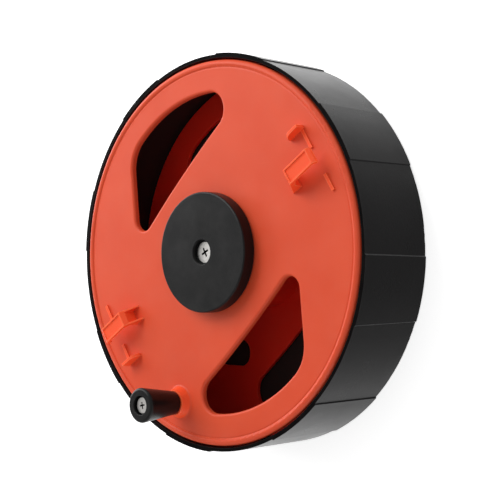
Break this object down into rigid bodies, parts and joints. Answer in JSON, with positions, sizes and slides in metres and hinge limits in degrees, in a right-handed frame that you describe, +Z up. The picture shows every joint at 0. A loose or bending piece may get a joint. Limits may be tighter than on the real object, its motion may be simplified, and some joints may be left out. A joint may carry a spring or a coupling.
{
  "type": "tape reel",
  "caption": "Hand-cranked reel in a tub casing: a windowed orange reel with tape clips turns on a fixed axle, and its crank knob turns on a spindle.",
  "frame": {"origin": "on the axle, in the plane that the closed back rests on: the centre of the bounding box's underside", "axes": "+Z up along the axle towards the crank side, with the reel lying on its closed back; +X to the right and +Y to the top seen from the crank side, with the knob at the lower left"},
  "size_m": [0.3014, 0.3014, 0.1118],
  "materials": {
    "black_casing": "fine moulded grain, matte",
    "black_satin": "smooth satin",
    "black_fitting": "smooth moulded",
    "orange_plastic": "satin moulded",
    "zinc_steel": "bright zinc plate",
    "white_acetal": "smooth",
    "bronze": "sintered, oiled"
  },
  "bodies": {
    "casing": {"drum_casing": "black_casing", "tape_mouth": "black_fitting", "axle_sleeve": "zinc_steel", "hub_cap": "black_satin", "rear_thrust_washer": "white_acetal", "front_thrust_washer": "white_acetal", "centre_screw": "zinc_steel", "centre_nut": "zinc_steel", "back_plug": "black_fitting"},
    "reel": {"front_flange": "orange_plastic", "rear_flange": "orange_plastic", "winding_core": "orange_plastic", "anchor_pin": "zinc_steel", "front_bush": "bronze", "rear_bush": "bronze", "front_flange_screws": "zinc_steel", "rear_flange_screws": "zinc_steel", "knob_spindle": "zinc_steel", "knob_screw": "zinc_steel", "knob_nut": "zinc_steel", "knob_washer": "black_fitting"},
    "knob": {"crank_knob": "black_satin"}
  },
  "joints": [
    {"name": "reel_spin", "type": "hinge", "parent": "casing", "child": "reel", "pos_m": [0, 0, 0], "axis": [0, 0, 1], "continuous": true},
    {"name": "knob_spin", "type": "hinge", "parent": "reel", "child": "knob", "pos_m": [-0.03503, -0.1153, 0.0915], "axis": [0, 0, 1], "continuous": true}
  ]
}
